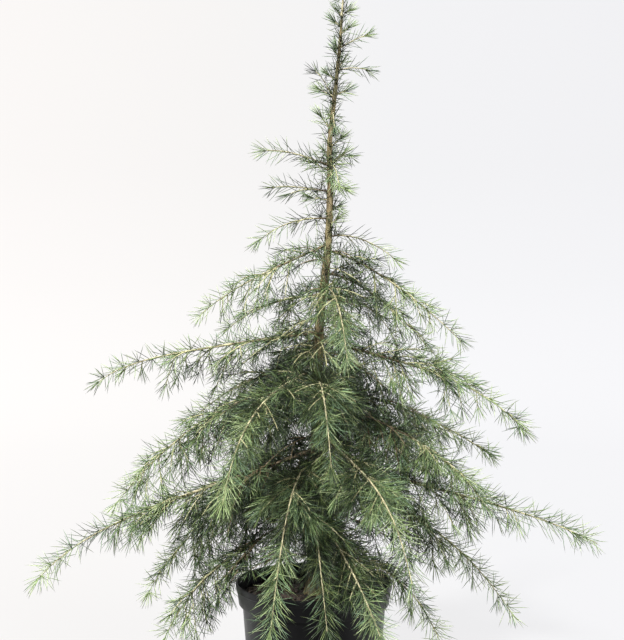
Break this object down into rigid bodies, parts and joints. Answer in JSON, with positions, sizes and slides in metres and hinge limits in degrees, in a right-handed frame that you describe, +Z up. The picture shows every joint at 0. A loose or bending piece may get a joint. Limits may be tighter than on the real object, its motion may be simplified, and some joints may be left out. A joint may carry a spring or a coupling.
{
  "type": "potted conifer sapling",
  "caption": "Young deodar cedar in a round tapered nursery pot, with a slim leaning trunk, drooping boughs and open masses of soft needles in a loose cone.",
  "frame": {"origin": "centre of the pot's flat underside", "axes": "+Z up along the pot's axis, +X to the right and +Y away from the viewer in the picture's front view"},
  "size_m": [0.8073, 0.6165, 1.065],
  "materials": {
    "pot": "satin black injection-moulded plastic",
    "compost": "dark damp bark compost",
    "trunk_bark": "thin tan-brown bark, paler and smoother towards the top",
    "bough_bark": "thin reddish-brown bark",
    "foliage": "soft waxy green needles on pale yellow-brown twigs"
  },
  "bodies": {
    "root": {"pot": "pot", "compost": "compost", "trunk": "trunk_bark", "bough_left_1": "bough_bark", "bough_left_2": "bough_bark", "bough_left_3": "bough_bark", "bough_left_4": "bough_bark", "bough_left_5": "bough_bark", "bough_right_1": "bough_bark", "bough_right_2": "bough_bark", "bough_right_3": "bough_bark", "bough_right_4": "bough_bark", "bough_right_5": "bough_bark", "bough_front_1": "bough_bark", "bough_front_2": "bough_bark", "bough_front_3": "bough_bark", "bough_front_4": "bough_bark", "bough_back_1": "bough_bark", "bough_back_2": "bough_bark", "bough_back_3": "bough_bark", "bough_back_4": "bough_bark", "bough_back_5": "bough_bark", "foliage_left_1": "foliage", "foliage_left_2": "foliage", "foliage_left_3": "foliage", "foliage_left_4": "foliage", "foliage_left_5": "foliage", "foliage_right_1": "foliage", "foliage_right_2": "foliage", "foliage_right_3": "foliage", "foliage_right_4": "foliage", "foliage_right_5": "foliage", "foliage_right_6": "foliage", "foliage_front_1": "foliage", "foliage_front_2": "foliage", "foliage_front_3": "foliage", "foliage_front_4": "foliage", "foliage_front_5": "foliage", "foliage_front_6": "foliage", "foliage_front_7": "foliage", "foliage_back_1": "foliage", "foliage_back_2": "foliage", "foliage_back_3": "foliage", "foliage_back_4": "foliage", "foliage_back_5": "foliage", "foliage_left_back_1": "foliage", "foliage_left_back_2": "foliage", "foliage_left_back_3": "foliage", "foliage_right_back_1": "foliage", "foliage_right_back_2": "foliage", "foliage_shoot_1": "foliage", "foliage_shoot_2": "foliage", "foliage_shoot_3": "foliage", "foliage_shoot_4": "foliage", "foliage_shoot_5": "foliage", "foliage_shoot_6": "foliage", "foliage_shoot_7": "foliage", "foliage_shoot_8": "foliage", "foliage_shoot_9": "foliage", "foliage_leader": "foliage"}
  },
  "joints": []
}
